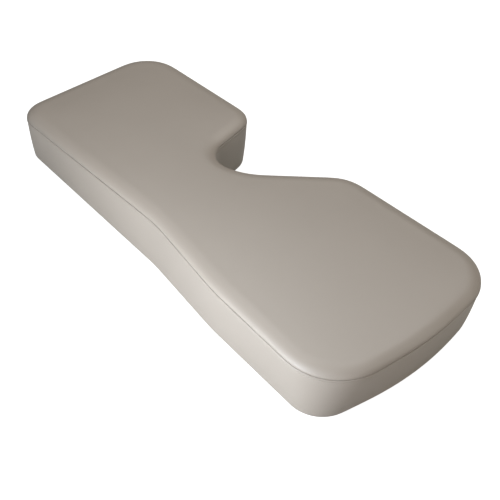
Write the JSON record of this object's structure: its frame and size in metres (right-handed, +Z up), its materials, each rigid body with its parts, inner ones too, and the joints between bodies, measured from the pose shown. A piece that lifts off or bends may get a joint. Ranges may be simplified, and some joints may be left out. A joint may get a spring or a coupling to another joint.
{
  "type": "body bolster pad",
  "caption": "Long flat upholstered body bolster with one gently S-curved side, one deep belly notch, rounded corners, a boxed side band and a plywood base.",
  "frame": {"origin": "under the middle of the pad, on the plane of its underside", "axes": "+X along the length towards the wide end, +Y towards the notched side, +Z up out of the padded top"},
  "size_m": [1.0572, 0.4343, 0.126],
  "materials": {
    "plywood": "raw birch plywood, unsanded edges",
    "zinc": "bright zinc-plated pressed steel",
    "firm_foam": "firm open-cell foam",
    "soft_foam": "soft open-cell foam",
    "wadding": "white bonded polyester wadding",
    "vinyl": "smooth satin upholstery vinyl, warm taupe, very fine grain",
    "thread": "bonded polyester thread, tone on tone",
    "non_woven": "black spun-bonded non-woven cloth"
  },
  "bodies": {
    "root": {"base_board": "plywood", "t_nut_1": "zinc", "t_nut_2": "zinc", "t_nut_3": "zinc", "t_nut_4": "zinc", "t_nut_5": "zinc", "t_nut_6": "zinc", "foam_firm_core": "firm_foam", "foam_soft_topper": "soft_foam", "wadding_wrap": "wadding", "cover_top_panel": "vinyl", "cover_band_front": "vinyl", "cover_band_back": "vinyl", "top_stitch_thread": "thread", "dust_cover": "non_woven"}
  },
  "joints": []
}
